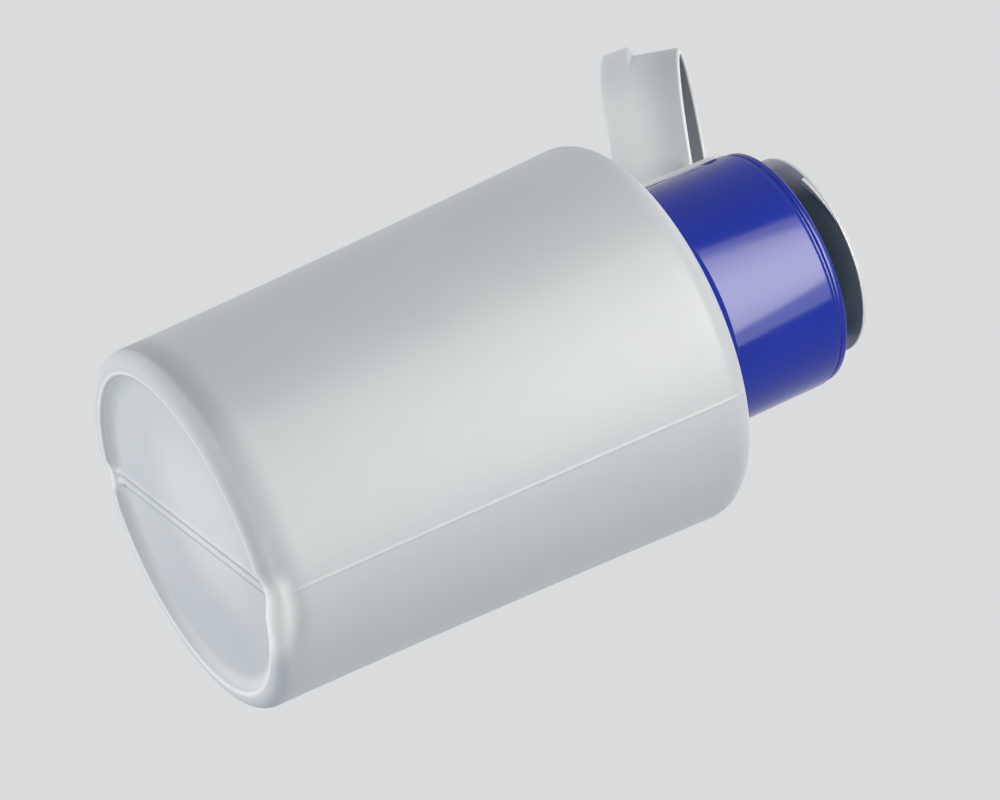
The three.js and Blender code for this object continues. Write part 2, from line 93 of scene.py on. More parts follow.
print(f"bottle's axis at x = {axis_x / mm:.2f} mm, {len(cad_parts)} solids in the frame")
print(f"parts sit with a gap of {seat} mm and slide with {play} mm")

# %% [markdown]
# Materials and geometry trees are both made of nodes. Written link by link they are hard to read, so
# one small class wraps a socket: adding or multiplying two wires puts a Math node in the tree. A
# second class makes any other node in one call.

# %% Wires and nets


def operator(operation, reflected=False):
    """An operator between wires and numbers, which puts a Math node in the tree."""
    def calc(self, other):
        return self.net.math(operation, *((other, self) if reflected else (self, other)))
    return calc


class Wire:
    """An output socket that works in expressions."""

    __add__, __radd__ = operator("ADD"), operator("ADD", True)
    __sub__, __rsub__ = operator("SUBTRACT"), operator("SUBTRACT", True)
    __mul__, __rmul__ = operator("MULTIPLY"), operator("MULTIPLY", True)
    __truediv__, __rtruediv__ = operator("DIVIDE"), operator("DIVIDE", True)

    def __init__(self, net, socket):
        self.net, self.socket = net, socket

    def step(self, start, end):
        """A smooth step from 0 at start to 1 at end, both in mm."""
        low, high, first, last = (start, end, 0.0, 1.0) if start < end else (end, start, 1.0, 0.0)
        return self.net.node(
            "ShaderNodeMapRange", {0: self, 1: low * mm, 2: high * mm, 3: first, 4: last},
            interpolation_type="SMOOTHSTEP", clamp=True)


class Net:
    """A node tree, built by calls that name a node's type, its sockets and its settings."""

    def __init__(self, tree):
        self.tree = tree

    def node(self, kind, sockets=None, out=0, **settings):
        made = self.tree.nodes.new(kind)
        for key, value in settings.items():
            if key == "stops":
                self.set_stops(made.color_ramp, value)
            else:
                setattr(made, key, value)
        for key, value in (sockets or {}).items():
            if isinstance(value, Wire):
                self.tree.links.new(value.socket, made.inputs[key])
            else:
                made.inputs[key].default_value = value
        return Wire(self, made.outputs[out] if len(made.outputs) else None)

    def set_stops(self, ramp, stops):
        while len(ramp.elements) > 1:
            ramp.elements.remove(ramp.elements[-1])
        for i, (place, colour) in enumerate(stops):
            stop = ramp.elements[0] if i == 0 else ramp.elements.new(place)
            stop.position, stop.color = place, colour

    def math(self, operation, *values):
        return self.node("ShaderNodeMath", dict(enumerate(values)), operation=operation)

    def vector(self, operation, *values, out=0):
        return self.node("ShaderNodeVectorMath", dict(enumerate(values)), out, operation=operation)

    def spot(self, *coordinates):
        return self.node("ShaderNodeCombineXYZ", dict(enumerate(coordinates)))

    def parts(self, vector):
        """The three coordinates of a vector."""
        split = self.node("ShaderNodeSeparateXYZ", {0: vector}).socket.node
        return [Wire(self, socket) for socket in split.outputs]


def new_net(owner):
    """An empty net for the nodes of a material, a light or the world."""
    owner.use_nodes = True
    owner.node_tree.nodes.clear()
    return Net(owner.node_tree)


print("a wire works with", [name for name in vars(Wire) if name.startswith("__r")])

# %% [markdown]
# Most of the dispenser's pieces are turned: an outline goes once round the axis. A Spin in mesh code
# would do it, and so would the Screw modifier. A geometry tree is used here, because it states the
# rule: each row of a grid takes one point of the outline, and each column is one step of the turn.

# %% The turning tree


def new_tree(name, **inputs):
    """A geometry tree with named inputs, as its net and a wire from each input."""
    tree = bpy.data.node_groups.new(name, "GeometryNodeTree")
    for key, kind in inputs.items():
        tree.interface.new_socket(key, in_out="INPUT", socket_type="NodeSocket" + kind)
    tree.interface.new_socket("Piece", in_out="OUTPUT", socket_type="NodeSocketGeometry")
    net = Net(tree)
    given = net.node("NodeGroupInput").socket.node.outputs
    return net, *(Wire(net, given[key]) for key in inputs)


def end_tree(net, geometry, finish):
    """Ends a tree with plain mesh and its finish."""
    real = net.node("GeometryNodeRealizeInstances", {0: geometry})
    done = net.node("GeometryNodeSetMaterial", {"Geometry": real, "Material": finish})
    net.node("NodeGroupOutput", {0: done})
    print(net.tree.name, "tree:", len(net.tree.nodes), "nodes")
    return net.tree


def turning_tree():
    net, outline, columns, axis, finish = new_tree(
        "turning", Outline="Geometry", Columns="Int", Axis="Float", Finish="Material")
    points = net.node("GeometryNodeAttributeDomainSize", {0: outline}, component="MESH")
    across = columns + 1
    grid = net.node("GeometryNodeMeshGrid", {"Vertices X": points, "Vertices Y": across})
    index = net.node("GeometryNodeInputIndex")
    row = net.math("FLOOR", (index + 0.5) / across)
    place = net.node("GeometryNodeInputPosition")
    spot = net.node("GeometryNodeSampleIndex", {"Geometry": outline, "Value": place, "Index": row},
                    data_type="FLOAT_VECTOR", domain="POINT")
    radius, _, height = net.parts(spot)
    angle = (index - row * across) * (2 * math.pi) / columns
    east, north = radius * net.math("COSINE", angle), radius * net.math("SINE", angle)
    turned_spot = net.spot(east + axis, north, height)
    wrapped = net.node("GeometryNodeSetPosition", {"Geometry": grid, "Position": turned_spot})
    closed = net.node("GeometryNodeMergeByDistance", {"Geometry": wrapped, "Distance": 1e-6})
    return end_tree(net, closed, finish)


turning = turning_tree()

# %% [markdown]
# Moulded plastic has no knife edges: light catches a small rounding at every corner. An outline is
# therefore given by its corners, each with its rounding, and the arcs are worked out here.

# %% Outlines with rounded corners
most_of_edge = 0.48


def rounded(corners, steps=6, longest=2.5):
    """Points of an outline in mm through (radius, height, rounding) corners, with no long gaps."""
    spots = [complex(*corner[:2]) for corner in corners]
    path = []
    for i, corner in enumerate(corners):
        here, back, on = spots[i], spots[i - 1] - spots[i], spots[(i + 1) % len(spots)] - spots[i]
        if len(corner) < 3:
            path.append(here)
            continue
        half = abs(cmath.phase(on / back)) / 2
        reach = min(corner[2] / math.tan(half), most_of_edge * abs(back), most_of_edge * abs(on))
        towards = back / abs(back) + on / abs(on)
        middle = here + towards / abs(towards) * reach / math.cos(half)
        start = here + back / abs(back) * reach - middle
        turn = cmath.phase((here + on / abs(on) * reach - middle) / start)
        path += [middle + start * cmath.exp(1j * turn * k / steps) for k in range(steps + 1)]
    dense = []
    for here, on in zip(path, path[1:]):
        pieces = max(1, math.ceil(abs(on - here) / longest))
        dense += [here + (on - here) * k / pieces for k in range(pieces)]
    return [(p.real, p.imag) for p in dense + [path[-1]]]


def sleeve(inside, outside, low, high, inner_rounding, outer_rounding):
    """Corners of a plain ring between two radii and two levels."""
    return [(inside, low, inner_rounding), (outside, low, outer_rounding),
            (outside, high, outer_rounding), (inside, high, inner_rounding)]


print("a ring's outline has", len(rounded(sleeve(4, 6, 0, 2, 0.2, 0.3))), "points")

# %% [markdown]
# A tree's result is made a plain mesh, and every mesh is cleaned in the same way: doubles merged,
# faces outwards, smooth except at sharp corners. A Boolean makes one body of two parts of the same
# moulding, and another cuts slots. Weighted normals then keep the flats between roundings flat.

# %% Plain pieces from trees
sharp_corner = math.radians(40)


def placed(name, data):
    """A new object in the scene."""
    made = bpy.data.objects.new(name, data)
    scene.collection.objects.link(made)
    return made


def settled(name, mesh, finish=None):
    """An object for the mesh, closed, facing outwards and smooth, with its finish."""
    bm = bmesh.new()
    bm.from_mesh(mesh)
    bmesh.ops.remove_doubles(bm, verts=bm.verts, dist=1e-6)
    bmesh.ops.dissolve_degenerate(bm, edges=bm.edges, dist=1e-7)
    bmesh.ops.recalc_face_normals(bm, faces=bm.faces)
    bm.to_mesh(mesh)
    bm.free()
    mesh.shade_smooth()
    mesh.set_sharp_from_angle(angle=sharp_corner)
    if finish:
        mesh.materials.append(finish)
    return placed(name, mesh)


def baked(made):
    """Turns the object's modifiers into plain mesh."""
    bpy.context.view_layer.update()
    graph = bpy.context.evaluated_depsgraph_get()
    mesh = bpy.data.meshes.new_from_object(made.evaluated_get(graph), depsgraph=graph)
    made.modifiers.clear()
    made.data = mesh
    return made


def grown(name, tree, mesh, **values):
    """What a geometry tree makes of a mesh and its named values, as a plain piece."""
    seed = placed(name, mesh)
    growth = seed.modifiers.new(name, "NODES")
    growth.node_group = tree
    sockets = {s.name: s.identifier for s in tree.interface.items_tree if s.in_out == "INPUT"}
    for key, value in values.items():
        growth[sockets[key]] = value
    made = baked(seed).data
    bpy.data.objects.remove(seed)
    return settled(name, made)


def turned(name, corners, finish, columns=64, steps=4):
    """A turned piece. An outline off the axis is closed on itself."""
    path = rounded(corners, steps)
    if path[0][0] > 0 or path[-1][0] > 0:
        path.append(path[0])
    edges = [(i, i + 1) for i in range(len(path) - 1)]
    mesh = bpy.data.meshes.new(name)
    mesh.from_pydata([(r * mm, 0, z * mm) for r, z in path], edges, [])
    return grown(name, turning, mesh, Columns=columns, Axis=axis_x, Finish=finish)


print("corners of more than", round(math.degrees(sharp_corner)), "degrees stay sharp")

# %% Grids, bars and joins


def mesh_of(name, points, faces):
    """A mesh from points in mm beside the axis."""
    mesh = bpy.data.meshes.new(name)
    mesh.from_pydata([from_axis(*point) for point in points], [], faces)
    return mesh


def between_rings(rings, count, first=0, closed=True):
    """Faces between neighbouring rings of points, with count points in each ring."""
    return [(a, b, b + count, a + count)
            for start in range(first, first + (rings - 1) * count, count)
            for a, b in ((start + i, start + (i + 1) % count) for i in range(count if closed else count - 1))]


def lofted(name, sections):
    """A solid through closed sections of points, with a face at each end."""
    count, last = len(sections[0]), (len(sections) - 1) * len(sections[0])
    ends = [tuple(range(count))[::-1], tuple(range(last, last + count))]
    return mesh_of(name, sum(sections, []), between_rings(len(sections), count) + ends)


def bar_mesh(low, high, rounding, origin=(axis_x, 0, 0)):
    """A bar with rounded edges between two corners in mm."""
    bm = bmesh.new()
    bmesh.ops.create_cube(bm, size=1)
    for v in bm.verts:
        spot = Vector([a + (b - a) * (share + 0.5) for a, b, share in zip(low, high, v.co)])
        v.co = spot * mm + Vector(origin)
    bmesh.ops.bevel(bm, geom=bm.edges[:], offset=rounding * mm, segments=2, affect="EDGES", profile=0.5)
    mesh = bpy.data.meshes.new("bar")
    bm.to_mesh(mesh)
    bm.free()
    return mesh


def joined(base, tool, operation="UNION"):
    """One body from two, by a Boolean that is baked."""
    both = base.modifiers.new("join", "BOOLEAN")
    both.operation, both.object, both.solver = operation, tool, "EXACT"
    baked(base)
    bpy.data.objects.remove(tool)
    return base


def cut(piece, low, high, rounding):
    """Cuts a bar with rounded edges out of a piece."""
    return joined(piece, settled("cutter", bar_mesh(low, high, rounding)), "DIFFERENCE")


def cross_cut(piece, reach, half, low, high, rounding):
    """Cuts a cross of two slots."""
    for x, y in ((reach, half), (half, reach)):
        piece = cut(piece, (-x, -y, low), (x, y, high), rounding)
    return piece


def weighted(made):
    """Keeps flats flat between their roundings."""
    made.data.set_sharp_from_angle(angle=sharp_corner)
    made.modifiers.new("normals", "WEIGHTED_NORMAL").keep_sharp = True
    return baked(made)


def dressed(made, body, slot, *nodes):
    """The piece rides on its body and stands for its solids. Its slot is not used."""
    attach(made, body)
    if nodes:
        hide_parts(*nodes)
    print(f"{made.name}: {len(made.data.polygons)} faces on {body}")
    return made


print("two rings of four points make", len(between_rings(2, 4)), "faces")

# %% [markdown]
# The camera stands where the photograph's did: beside the foot and a little below it, looking up
# along the bottle, and rolled, because the bottle lies on its side. Its place was found by fitting
# the outlines of the bottle, the collar, the dish and the lid to the picture.

# %% The camera
camera_place = Vector((-633.464, 342.158, -216.404)) * mm
camera_right = Vector((-0.48591, -0.19844, 0.85118)).normalized()
camera_back = Vector((-0.81489, 0.45495, -0.35913)).normalized()
camera_up = camera_back.cross(camera_right)
camera_turn = Matrix((camera_right, camera_up, camera_back)).transposed().to_4x4()
camera = placed("camera", bpy.data.cameras.new("camera"))
camera.data.lens, camera.data.sensor_width = 179.41, 36
camera.data.clip_start, camera.data.clip_end = 0.05, 20
camera.matrix_world = Matrix.Translation(camera_place) @ camera_turn
scene.camera = camera
print("camera is", round((camera_place - Vector(from_axis(0, 0, 50))).length, 3), "m from the bottle")

# %% [markdown]
# One long strip light stands beside the camera. It draws the band along the ring and the softer one
# along the bottle, and a ramp fades it towards both ends. A longer, wider and weaker strip lies over
# it, which only reflections see: it gives the band on the glossy ring its dimmer borders. A square
# light under the foot shows the base and puts a soft gleam under the dish. Two weak fills, below and
# on top, and one from the side that has no reflection lift what would be black. The world is even and
# slightly cool. What the camera and the reflections see of it is set apart from what lights the
# object, so the backdrop is pale without more light.

# %% Light and backdrop
scene.view_settings.view_transform = "Standard"
fill_colour, fill_level = (0.84, 0.95, 1.06, 1), 0.3
backdrop_colour, backdrop_level = (0.98, 0.99, 1.0, 1), 0.72
light_aim = from_axis(0, 0, 60)


def backdrop():
    scene.world = bpy.data.worlds.new("backdrop")
    net = new_net(scene.world)
    camera_ray, mirrored, seen_through = (net.node("ShaderNodeLightPath", out=f"Is {ray} Ray")
                                          for ray in ("Camera", "Glossy", "Transmission"))
    shows = net.math("MAXIMUM", net.math("MAXIMUM", camera_ray, mirrored), seen_through)
    lit = net.node("ShaderNodeBackground", {0: fill_colour, 1: fill_level})
    pale = net.node("ShaderNodeBackground", {0: backdrop_colour, 1: backdrop_level})
    both = net.node("ShaderNodeMixShader", {0: shows, 1: lit, 2: pale})
    net.node("ShaderNodeOutputWorld", {0: both})


def studio_light(name, azimuth, elevation, distance, size, watts, colour=(1, 1, 1), ramp=None):
    """A flat soft light that faces the bottle, from angles in degrees and lengths in metres."""
    light = bpy.data.lights.new(name, "AREA")
    light.shape, light.size, light.size_y = "RECTANGLE", *size
    light.energy, light.color = watts, colour
    east, north, up = around(1, math.radians(azimuth), math.tan(math.radians(elevation)))
    towards = Vector((east, north, up)).normalized()
    made = placed(name, light)
    made.location = Vector(light_aim) + towards * distance
    made.rotation_euler = towards.to_track_quat("Z", "Y").to_euler()
    if ramp:
        net = new_net(light)
        along = net.parts(net.node("ShaderNodeNewGeometry", out="Parametric"))[0]
        stops = [(place, (level, level, level, 1)) for place, level in ramp]
        strength = net.node("ShaderNodeValToRGB", {0: along}, stops=stops)
        net.node("ShaderNodeOutputLight", {0: net.node("ShaderNodeEmission", {0: strength})})
    return made


backdrop()
strip_ramp = ((0.0, 0.3), (0.16, 0.42), (0.44, 1.0), (0.62, 1.0), (0.86, 0.6), (1.0, 0.22))
studio_light("key", 152.5, 24, 0.62, (1.15, 0.138), 5.5, (1.0, 0.945, 0.87), strip_ramp)
gleam = studio_light("gleam", 155.5, 24.9, 0.62, (1.55, 0.21), 3.7, (1.0, 0.96, 0.92))
gleam.visible_diffuse = False
studio_light("low", 24, -54, 0.72, (0.5, 0.5), 4.1, (1.0, 0.98, 0.95))
studio_light("under", 226, -42, 0.6, (0.4, 0.4), 0.6)
side = studio_light("side", -52, 40, 0.8, (0.5, 0.5), 3.3)
side.visible_glossy = False
studio_light("top", 20, 72, 0.8, (0.5, 0.5), 0.7)
print("lights in W:", {light.name: round(light.energy, 1) for light in bpy.data.lights})

# %% [markdown]
# Finishes. Natural polyethylene is milky: light goes in, scatters and comes out a little further
# on, so its shadows are soft. The mould was blasted, which leaves a fine grain and a satin sheen.
# Where the plastic is thick it is whiter. A finish may also paint light and shade into its colour:
# white for painted light and highlights, grey for painted shade. Each finish may name such places
# as masks over the surface, from the distance to a point or to the axis.

# %% Finishes of plastic
cloud_sheen, grain_sheen = 0.1, 0.08
bump_strength = 0.35
plastic_ior = 1.5
scatter_reach = (3.4, 3.0, 2.8)


def blend_colour(share, first, second):
    """One colour over another, by a share from 0 to 1."""
    fit = [value if isinstance(value, Wire) else (*value, 1) for value in (first, second)]
    return share.net.node("ShaderNodeMix", {0: share, 6: fit[0], 7: fit[1]}, out=2, data_type="RGBA")


def finish(name, colours, roughness, milky=0.0, grain=0.0, grain_size=0.3, clouds=9.0,
           places=None, worn=None, **sockets):
    """A moulded plastic: two close colours in slow clouds, a fine grain and uneven gloss."""
    material = bpy.data.materials.new(name)
    net = new_net(material)
    place = net.node("ShaderNodeTexCoord", out="Object")
    cloud, fine = (
        net.node("ShaderNodeTexNoise", {"Vector": place, "Scale": 1 / (size * mm), "Detail": detail})
        for size, detail in ((clouds, 2.0), (grain_size, 3.0)))
    colour = blend_colour(cloud, *colours)
    for share, over in places(place) if places else ():
        colour = blend_colour(share, colour, over)
    sheen = roughness + (cloud - 0.5) * cloud_sheen + (fine - 0.5) * grain_sheen
    if worn:
        sheen = sheen + worn(place)
    bump = net.node("ShaderNodeBump", {"Strength": bump_strength, "Distance": grain * mm, "Height": fine})
    values = {"Base Color": colour, "Roughness": sheen, "Normal": bump, "IOR": plastic_ior}
    if milky:
        values |= {"Subsurface Weight": milky, "Subsurface Scale": 1.0,
                   "Subsurface Radius": [reach * mm for reach in scatter_reach]}
    shader = net.node("ShaderNodeBsdfPrincipled", values | sockets)
    net.node("ShaderNodeOutputMaterial", {0: shader})
    print(name, "has", len(net.tree.nodes), "nodes")
    return material


natural_moulding = finish("natural_moulding", ((0.60, 0.63, 0.655), (0.67, 0.69, 0.70)), 0.3,
                          milky=0.4, grain=0.01, clouds=7)
blue_gloss = finish("blue_gloss", ((0.002, 0.018, 0.31), (0.004, 0.026, 0.37)), 0.085,
                    grain=0.004, grain_size=0.8, **{"Specular IOR Level": 0.32})
pump_white = finish("pump_white", ((0.72, 0.73, 0.72), (0.77, 0.775, 0.765)), 0.38, milky=0.15, grain=0.01)
seal_white = finish("seal", ((0.74, 0.73, 0.69), (0.79, 0.78, 0.74)), 0.62, milky=0.15, grain=0.02)
steel = finish("steel", ((0.60, 0.61, 0.63), (0.66, 0.67, 0.68)), 0.18, grain=0.003, Metallic=1.0)

# %% Places on a surface
# White stands for thick plastic and for painted light and highlights; grey is painted shade.
thick_and_lit_white, shade_grey = (0.83, 0.83, 0.82), (0.40, 0.43, 0.46)
upright = (0, 0, 1)


def offset_from(place, spot=(0, 0, 0)):
    """The way to the surface from a spot in mm, or from the foot of the axis."""
    return place.net.vector("SUBTRACT", place, from_axis(*spot))


def distance_along(place, direction, spot=(0, 0, 0)):
    """How far the surface lies from a spot in one direction."""
    return place.net.vector("DOT_PRODUCT", offset_from(place, spot), direction, out="Value")


def distance_from(place, spot, direction=None):
    """Distance of the surface from a spot, or from a line through it."""
    offset = offset_from(place, spot)
    if direction:
        offset = place.net.vector("CROSS_PRODUCT", offset, direction)
    return place.net.vector("LENGTH", offset, out="Value")


# The grey is painted shade; the white is thick plastic and painted light.
print("thick plastic", thick_and_lit_white, "and thin plastic", shade_grey)

# %% [markdown]
# The bottle is blown between two mould halves. The parison is pinched off at the bottom, which leaves
# the welded seam across the base, and the halves meet in a thin line up each side. Its surface is
# not quite turned, so it gets a grid of its own: its columns crowd where the seam runs, and the
# base is laid out in lines that are parallel to the weld, so that the two ridges come out straight.

# %% Sizes of the bottle
foot_radius, foot_rounding = 28.75, 2.4
shoulder_radius, shoulder_top, shoulder_rounding = half_width("bottle"), 81.7, 4.0
wall = 1.2
panel_height, panel_radius, recess_corner, ring_inside = 1.6, 21.6, 24.0, 25.6
neck_radius, neck_bore = 14.85, 12.3
neck_foot, neck_top = shoulder_top + 1.1, levels("bottle")[1]
flare_power = 1.4
print(f"shoulder {shoulder_radius:.2f} mm, neck top {neck_top:.2f} mm")

# %% Finish of the bottle


def foot_wear(place):
    """Added roughness of the foot, which stands on things and is worn."""
    return place.net.parts(place)[2].step(3.2, 1.2) * 0.3


def bottle_places(place):
    """Shares from 0 to 1 of what is whiter or greyer: painted shade beside the foot, on the panel's low side
    and beside the weld's ridges, painted light on the panel's middle and the recess wall, painted highlights
    on the foot's crest, the shoulder's edge and the weld's crests, which are also thick, and the weld's ends
    and the parting line.
    """
    along, across, height = place.net.parts(offset_from(place))
    radius = distance_from(place, (0, 0, 0), upright)
    from_ring = radius - ring_inside * mm
    inside = from_ring.step(-0.2, -0.7) * height.step(panel_height + 0.6, panel_height + 0.2)
    # Painted shade: a grey band up the side just above the foot, darker on one side.
    foot_band_shade = height.step(1.5, 2.6) * height.step(7.0, 3.2) * (across.step(-14, 4) * 0.6 + 0.2)
    # Painted highlight: a thin white line along the crest of the foot ring.
    crest_highlight = height.step(0.35, 0.05) * from_ring.step(0.7, 0.2) * 0.7
    # Painted highlight: a white band along the rounded edge of the shoulder.
    crown = height.step(shoulder_top - 1.5, shoulder_top - 0.5) * radius.step(25.0, 27.5) * 0.5
    # The crests of the weld's ridges are whiter, as thick plastic and as a painted highlight.
    weld = height.step(0.95, 0.6) * from_ring.step(-0.6, -2.6) * 0.6
    # Painted shade: a grey line along the lower flank of each weld ridge.
    groove_shade = across.step(-2.0, -1.5) * across.step(-0.9, -1.2)
    groove_shade = (groove_shade + across.step(-0.3, 0.05) * across.step(0.75, 0.5)) * inside * 0.95
    # Painted shade: the base panel greyer towards its low side. Painted light: whiter about its middle.
    panel_low_shade = across.step(6, -22) * inside * 0.3
    panel_middle_light = distance_from(place, (-6, 4, panel_height)).step(19, 6) * inside * 0.4
    # Painted light: the sloping wall between the panel and the foot ring made whiter.
    wall_ring_light = from_ring.step(-2.6, -0.8) * inside * 0.45
    narrower = across.step(-14, -2) * (2.6 * mm)
    near_end = (height - narrower).step(2.2, -0.6) * from_ring.step(-0.4, 0.2) * along.step(-8, -16)
    near_end = near_end * across.step(-13.5, -8) * across.step(4.6, 0.5)
    far_end = distance_from(place, (26.2, 0, 0.6)).step(3.2, 1.6) * 0.6
    parting = place.net.math("ABSOLUTE", across).step(0.35, 0.1) * height.step(3, 6) * 0.15
    return ((foot_band_shade, shade_grey), (panel_low_shade, shade_grey), (panel_middle_light, thick_and_lit_white),
            (wall_ring_light, thick_and_lit_white), (weld, thick_and_lit_white), (groove_shade, shade_grey), (crest_highlight, thick_and_lit_white),
            (crown, thick_and_lit_white), (parting, thick_and_lit_white), ((near_end + far_end) * 0.95, thick_and_lit_white))


natural_bottle = finish("natural_bottle", ((0.53, 0.565, 0.595), (0.60, 0.625, 0.64)), 0.4,
                        milky=0.45, grain=0.02, grain_size=0.35, clouds=18,
                        places=bottle_places, worn=foot_wear)

# %% Outline of the bottle
quarter_turn = np.linspace(0, math.pi / 2, 13)


def side_rows(inset, steps=36):
    """Points up the side, which flares towards the shoulder."""
    heights = np.linspace(foot_rounding, shoulder_top - shoulder_rounding, steps + 1)
    flare = np.linspace(0, 1, steps + 1) ** flare_power
    return list(zip(foot_radius + (shoulder_radius - foot_radius) * flare - inset, heights))


def bottle_outline():
    """From the panel's edge round the foot, up the side, over the neck and down the inside."""
    edge, corner = foot_radius - foot_rounding, shoulder_radius - shoulder_rounding
    foot = rounded([(panel_radius, panel_height), (recess_corner, panel_height, 3.0), (ring_inside, 0, 0.35),
                    (edge, 0)], 8, 0.4)[:-1]
    turn_up = [(edge + foot_rounding * math.sin(a), foot_rounding * (1 - math.cos(a)))
               for a in quarter_turn[:-1]]
    crown = [(corner + shoulder_rounding * math.cos(a), shoulder_top - shoulder_rounding * (1 - math.sin(a)))
             for a in quarter_turn[1:]]
    neck = rounded([crown[-1], (neck_radius, neck_foot, 0.8), (neck_radius, neck_top, 0.4),
                    (neck_bore, neck_top, 0.4), (neck_bore, neck_foot - wall, 2.0),
                    (corner, shoulder_top - wall, 2.5), side_rows(wall)[-1]], 6, 1.5)[1:-1]
    floor = panel_height + wall
    inner_foot = rounded([side_rows(wall)[0], (edge, floor, 1.0), (0, floor)], 6, 3)
    return foot + turn_up + side_rows(0) + crown + neck + side_rows(wall)[::-1] + inner_foot[1:]


outline = bottle_outline()
print(len(outline), "points from the panel's edge to the middle of the inner floor")

# %% Weld, notches and parting line
weld_middle, weld_width, weld_height, weld_runout = 0.85, 0.4, 1.05, 1.3
notch_half_width, notch_depth, notch_runout = 4.6, 0.75, 1.8
parting_half_width, parting_height, parting_start, parting_end = 0.24, 0.09, 4, 2.5
foot_flat = 0.2


def bell(offset, width):
    return np.exp(-((offset / width) ** 2))


def fade(value, start, end):
    share = np.clip((value - start) / (end - start), 0, 1)
    return share * share * (3 - 2 * share)


def moulded(points, outside):
    """Adds the weld, the dips where it meets the foot, and the line between the mould halves."""
    x, y, z = points.T.copy()
    radius = np.hypot(x, y)
    low = outside * (1 - fade(z, foot_flat, foot_rounding))
    ridges = bell(abs(y) - weld_middle, weld_width) * (radius < ring_inside)
    ridges *= 1 - fade(abs(x), recess_corner - weld_runout, ring_inside)
    z -= weld_height * ridges * low
    dip = np.cos(np.clip(y / notch_half_width, -1, 1) * math.pi / 2) ** 2
    z += notch_depth * dip * low * fade(abs(x), recess_corner - notch_runout, ring_inside)
    line = bell(y, parting_half_width) * fade(z, foot_rounding, foot_rounding + parting_start) * outside
    line *= 1 - fade(z, shoulder_top - parting_end, shoulder_top)
    grow = 1 + parting_height * line / np.maximum(radius, foot_radius / 2)
    return np.stack([x * grow, y * grow, z], 1)


print(f"weld {weld_height} mm high, notches {notch_depth} mm deep, parting line {parting_height} mm proud")

# %% Surface of the bottle
seam_angle, seam_columns, side_columns, panel_columns = 5, 20, 51, 49


def bottle_mesh():
    quarter = np.concatenate([np.linspace(0, seam_angle, seam_columns + 1)[:-1],
                              np.linspace(seam_angle, 90, side_columns + 1)])
    slopes = np.radians(np.concatenate([-quarter[::-1][:-1], quarter]))
    spread = np.sin(np.linspace(-math.pi / 2, math.pi / 2, panel_columns))
    disc = np.stack(np.broadcast_arrays(
        panel_radius * np.cos(slopes)[:, None] * spread, panel_radius * np.sin(slopes)[:, None],
        panel_height), -1).reshape(-1, 3)
    turns = np.concatenate([slopes, np.pi - slopes[::-1][1:-1]])
    radius, height = np.array(outline).T[:, :, None]
    tube = np.stack(np.broadcast_arrays(radius * np.cos(turns), radius * np.sin(turns), height), -1)
    outside = np.arange(len(outline)) < np.argmax(height)
    skin = moulded(np.concatenate([disc, tube.reshape(-1, 3)]),
                   np.concatenate([np.ones(len(disc)), np.repeat(outside, len(turns))]))
    faces = between_rings(len(slopes), panel_columns, closed=False)
    faces += between_rings(len(outline), len(turns), first=len(disc))
    return mesh_of("bottle_body", skin, faces)


bottle = settled("bottle_body", bottle_mesh(), natural_bottle)
dressed(bottle, "bottle", "natural_bottle", "bottle")

# %% [markdown]
# The blue ring hides the screw closure. It is a glossy cover with a bead around its top edge, set
# back a little behind a groove, and a small lip that turns in over the closure.

# %% The blue ring
collar_radius = half_width("collar_shell")
collar_bottom, collar_top = levels("collar_shell")
collar_inside, collar_mouth, collar_lip = 18.0, 16.9, 1.2
lead_in_depth, lead_in_height = 0.55, 2.1
bead_radius, bead_setback = 0.7, 0.25
groove_height, groove_depth = 0.45, 0.45
bead_low = collar_top - 1.5 * bead_radius
collar = turned("blue_ring", [
    (collar_inside, collar_bottom, 0.1),
    (collar_radius - lead_in_depth, collar_bottom, 0.2),
    (collar_radius, collar_bottom + lead_in_height, 0.4),
    (collar_radius, bead_low - 2 * groove_height, 0.3),
    (collar_radius - groove_depth, bead_low - 1.2 * groove_height, 0.15),
    (collar_radius - groove_depth, bead_low - 0.4 * groove_height, 0.12),
    (collar_radius - bead_setback, bead_low, 0.25),
    (collar_radius - bead_setback, collar_top, 0.6),
    (collar_mouth, collar_top, 0.2),
    (collar_mouth, collar_top - collar_lip, 0.2),
    (collar_inside, collar_top - collar_lip, 0.2),
], blue_gloss, 240, 8)
dressed(weighted(collar), "closure", "blue_gloss", "collar_shell")

# %% [markdown]
# The press dish is a thin shallow bowl on a hub. Under its rim sits one short rib that runs out to
# a point. The bowl is slate plastic, darkened further with painted shade. A painted highlight makes
# its cut edge light, so the finish goes from slate to light within the last millimetre of the rim,
# and a painted reflection makes the bowl paler towards its back.

# %% Sizes of the press dish
dish_radius = half_width("press_dish")
hub_bottom, dish_rim = levels("press_dish")
dish_depth, dish_wall, rim_width, edge_height = 5, 1.0, 0.8, 0.6
dish_under = dish_rim - dish_depth
hub_radius, stem_radius, outlet_chamber, inner_floor = 4.0, 2.5, 1.9, 3.4
lug_start, lug_span, lug_width, lug_height = 108, 37, 1.25, 1.3
lug_outside, lug_top = dish_radius - 0.1, dish_rim - 0.15
# The side, in degrees about the axis, that a painted reflection makes paler.
dish_reflection_side = 72
print(f"dish {dish_radius:.2f} mm in radius, rim at {dish_rim:.2f} mm")

# %% Finish of the press dish


